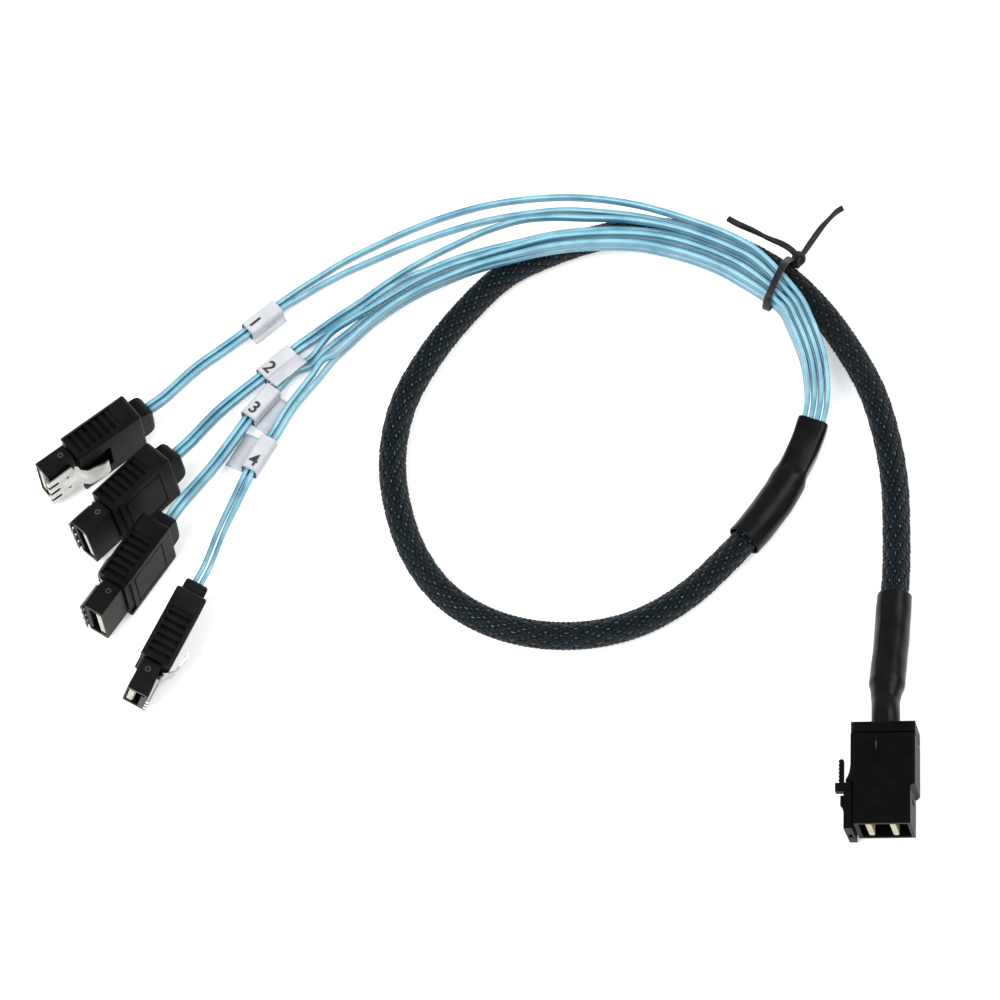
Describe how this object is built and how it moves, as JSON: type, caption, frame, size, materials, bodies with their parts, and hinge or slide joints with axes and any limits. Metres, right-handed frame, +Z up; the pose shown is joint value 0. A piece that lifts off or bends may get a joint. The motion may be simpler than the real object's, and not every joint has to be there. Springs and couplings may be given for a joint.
{
  "type": "breakout cable",
  "caption": "Breakout cable in one open loop: a two-card host plug, a braided sleeve, flat blue wires in labelled pairs and latching drive plugs.",
  "frame": {"origin": "the point on the floor under the middle of the box round the five plugs", "axes": "+Z up from the floor that the cable lies on, +X from the drive plugs to the host plug, +Y towards the top of the loop; the host plug points to -Y"},
  "size_m": [0.1633, 0.1341, 0.0149],
  "materials": {
    "wire_jacket": "translucent sky-blue flat wire jacket",
    "label_film": "white printed label film",
    "clip_steel": "bright nickel-plated spring steel",
    "contact_wafer": "pale wafer with gold contacts",
    "overmould_plastic": "near-black moulded plastic, fine matt grain",
    "nose_plastic": "near-black moulded plastic",
    "paddle_card": "pale beige card edge",
    "housing_plastic": "near-black moulded plastic, satin",
    "heat_shrink": "glossy black heat-shrink",
    "sleeve_braid": "black braided monofilament over blue wires",
    "tie_cover": "black-brown matt tie"
  },
  "bodies": {
    "cable": {"plug_housing": "housing_plastic", "plug_rear_cap": "housing_plastic", "plug_card_1": "paddle_card", "plug_card_2": "paddle_card", "plug_boot": "heat_shrink", "braided_sleeve": "sleeve_braid", "breakout_shrink": "heat_shrink", "wire_1a": "wire_jacket", "wire_1b": "wire_jacket", "wire_2a": "wire_jacket", "wire_2b": "wire_jacket", "wire_3a": "wire_jacket", "wire_3b": "wire_jacket", "wire_4a": "wire_jacket", "wire_4b": "wire_jacket", "label_1": "label_film", "label_2": "label_film", "label_3": "label_film", "label_4": "label_film", "twist_tie": "tie_cover", "drive_1_overmould": "overmould_plastic", "drive_1_nose": "nose_plastic", "drive_1_contacts": "contact_wafer", "drive_2_overmould": "overmould_plastic", "drive_2_nose": "nose_plastic", "drive_2_contacts": "contact_wafer", "drive_3_overmould": "overmould_plastic", "drive_3_nose": "nose_plastic", "drive_3_contacts": "contact_wafer", "drive_4_overmould": "overmould_plastic", "drive_4_nose": "nose_plastic", "drive_4_contacts": "contact_wafer"},
    "host_latch": {"plug_latch": "housing_plastic"},
    "clip_1": {"drive_1_clip": "clip_steel"},
    "clip_2": {"drive_2_clip": "clip_steel"},
    "clip_3": {"drive_3_clip": "clip_steel"},
    "clip_4": {"drive_4_clip": "clip_steel"}
  },
  "joints": [
    {"name": "host_latch_press", "type": "hinge", "parent": "cable", "child": "host_latch", "pos_m": [0.06793, -0.03532, 0.006], "axis": [0.2122, 0.0931, -0.9728], "range_deg": [0, 8], "stiffness_Nm_per_rad": 0.1},
    {"name": "clip_1_press", "type": "hinge", "parent": "cable", "child": "clip_1", "pos_m": [-0.07788, 0.02445, 0.0066], "axis": [0, 0, 1], "range_deg": [0, 4], "stiffness_Nm_per_rad": 0.05},
    {"name": "clip_2_press", "type": "hinge", "parent": "cable", "child": "clip_2", "pos_m": [-0.07327, 0.01591, 0.00654], "axis": [0.1018, -0.0949, -0.9903], "range_deg": [0, 4], "stiffness_Nm_per_rad": 0.05},
    {"name": "clip_3_press", "type": "hinge", "parent": "cable", "child": "clip_3", "pos_m": [-0.07065, -0.00041, 0.0066], "axis": [0.0148, -0.0092, -0.9998], "range_deg": [0, 4], "stiffness_Nm_per_rad": 0.05},
    {"name": "clip_4_press", "type": "hinge", "parent": "cable", "child": "clip_4", "pos_m": [-0.05841, -0.01779, 0.00593], "axis": [0.2046, -0.1722, 0.9636], "range_deg": [0, 4], "stiffness_Nm_per_rad": 0.05}
  ]
}
